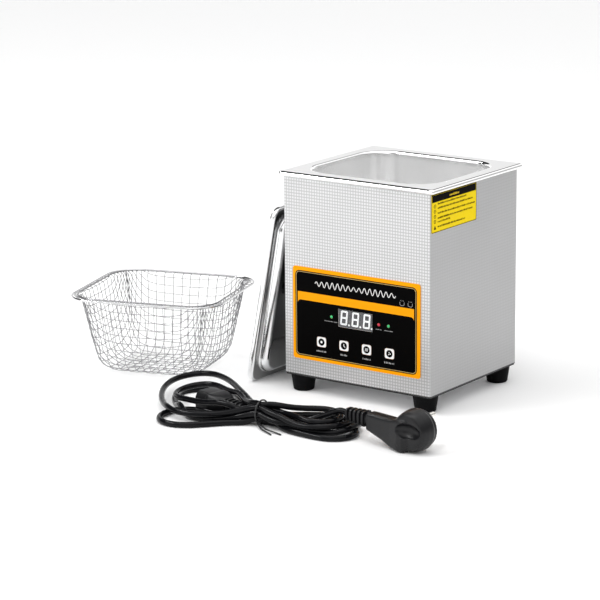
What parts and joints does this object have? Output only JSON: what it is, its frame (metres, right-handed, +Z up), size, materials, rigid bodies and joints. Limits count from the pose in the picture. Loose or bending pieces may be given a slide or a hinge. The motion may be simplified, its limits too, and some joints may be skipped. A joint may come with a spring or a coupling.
{
  "type": "ultrasonic cleaner",
  "caption": "Bench-top ultrasonic cleaner: stainless housing and drawn tank on rubber feet, digital key panel, lift-off lid, wire basket and tied mains lead laid out beside it.",
  "frame": {"origin": "on the table under the middle of the housing, halfway between the four feet", "axes": "+Z up, front panel towards -Y, side label towards +X, lid and basket on the -X side"},
  "size_m": [0.5008, 0.3505, 0.226],
  "materials": {
    "housing_steel": "fine squared linen emboss, satin",
    "base_steel": "satin",
    "tank_steel": "polished",
    "lid_steel": "polished",
    "basket_wire": "bright drawn wire",
    "fastener_steel": "zinc plated",
    "foot_rubber": "matt moulded rubber",
    "overlay_print": "printed polyester, semi-gloss",
    "key_print": "printed polyester",
    "display_window": "clear tinted window",
    "display_face": "grey moulded face",
    "display_figure": "light-diffusing segments",
    "led_green_lens": "tinted lens",
    "led_red_lens": "tinted lens",
    "circuit_board": "solder mask",
    "switch_black": "moulded plastic",
    "ribbon_grey": "flat cable",
    "machined_aluminium": "turned",
    "piezo_ceramic": "silvered ceramic",
    "electrode_brass": "plain",
    "back_mass_steel": "turned steel",
    "heater_silicone": "silicone pad",
    "sink_aluminium": "extruded",
    "ferrite_tape": "wound and taped",
    "capacitor_sleeve": "shrink sleeve",
    "relay_case": "moulded plastic",
    "wire_brown": "insulated wire",
    "wire_red": "insulated wire",
    "fan_black": "moulded plastic",
    "inlet_black": "moulded plastic",
    "contact_metal": "plated",
    "fuse_glass": "glass tube with caps",
    "rocker_red": "translucent moulding",
    "label_print": "printed film",
    "handle_black": "moulded plastic",
    "cord_black": "satin PVC sheath",
    "plug_black": "matt moulded PVC",
    "plug_metal": "nickel plated",
    "tie_wire": "plastic-covered wire"
  },
  "bodies": {
    "cleaner": {"housing": "housing_steel", "tank": "tank_steel", "base_plate": "base_steel", "base_screws": "fastener_steel", "foot_front_left": "foot_rubber", "foot_front_right": "foot_rubber", "foot_rear_left": "foot_rubber", "foot_rear_right": "foot_rubber", "foot_screws": "fastener_steel", "panel_overlay": "overlay_print", "display_lens": "display_window", "display_module": "display_face", "display_digits": "display_figure", "leds_green": "led_green_lens", "led_red": "led_red_lens", "control_board": "circuit_board", "tact_switches": "switch_black", "board_standoffs": "fastener_steel", "board_screws": "fastener_steel", "panel_ribbon": "ribbon_grey", "transducer_horn": "machined_aluminium", "piezo_rings": "piezo_ceramic", "transducer_electrodes": "electrode_brass", "transducer_back_mass": "back_mass_steel", "transducer_bolt": "fastener_steel", "heater_pads": "heater_silicone", "thermostat": "switch_black", "driver_board": "circuit_board", "heatsink": "sink_aluminium", "output_transformer": "ferrite_tape", "capacitors": "capacitor_sleeve", "heater_relay": "relay_case", "mains_wires": "wire_brown", "transducer_wires": "wire_red", "fan_frame": "fan_black", "fan_screws": "fastener_steel", "power_inlet": "inlet_black", "inlet_pins": "contact_metal", "inlet_screws": "fastener_steel", "rocker_frame": "inlet_black", "info_label": "label_print", "cord_plug": "plug_black", "plug_pins": "plug_metal", "cord_connector": "plug_black", "cord_hank": "cord_black", "cord_tie": "tie_wire"},
    "lid": {"lid_panel": "lid_steel", "lid_handle": "handle_black", "lid_handle_screws": "fastener_steel"},
    "basket": {"basket_mesh": "basket_wire", "basket_rim": "basket_wire", "basket_inner_ring": "basket_wire"},
    "power_key": {"key_power": "key_print"},
    "time_key": {"key_time": "key_print"},
    "heat_key": {"key_heat": "key_print"},
    "degas_key": {"key_degas": "key_print"},
    "power_rocker": {"rocker_paddle": "rocker_red"},
    "fan_wheel": {"fan_rotor": "fan_black"},
    "fuse_tray": {"fuse_drawer": "inlet_black", "fuse": "fuse_glass"}
  },
  "joints": [
    {"name": "lid_lift", "type": "slide", "parent": "cleaner", "child": "lid", "axis": [-0.1701, 0, 0.9854], "range_m": [0, 0.24]},
    {"name": "basket_lift", "type": "slide", "parent": "cleaner", "child": "basket", "axis": [0, 0, 1], "range_m": [0, 0.14]},
    {"name": "power_press", "type": "slide", "parent": "cleaner", "child": "power_key", "axis": [0, 1, 0], "range_m": [0, 0.0004], "stiffness_N_per_m": 1500},
    {"name": "time_press", "type": "slide", "parent": "cleaner", "child": "time_key", "axis": [0, 1, 0], "range_m": [0, 0.0004], "stiffness_N_per_m": 1500},
    {"name": "heat_press", "type": "slide", "parent": "cleaner", "child": "heat_key", "axis": [0, 1, 0], "range_m": [0, 0.0004], "stiffness_N_per_m": 1500},
    {"name": "degas_press", "type": "slide", "parent": "cleaner", "child": "degas_key", "axis": [0, 1, 0], "range_m": [0, 0.0004], "stiffness_N_per_m": 1500},
    {"name": "rocker_tip", "type": "hinge", "parent": "cleaner", "child": "power_rocker", "pos_m": [0.045, 0.0775, 0.1], "axis": [1, 0, 0], "range_deg": [-20, 0]},
    {"name": "fan_spin", "type": "hinge", "parent": "cleaner", "child": "fan_wheel", "pos_m": [-0.038, 0.072, 0.062], "axis": [0, 1, 0], "continuous": true},
    {"name": "fuse_tray_slide", "type": "slide", "parent": "cleaner", "child": "fuse_tray", "axis": [0, 1, 0], "range_m": [0, 0.016]}
  ]
}
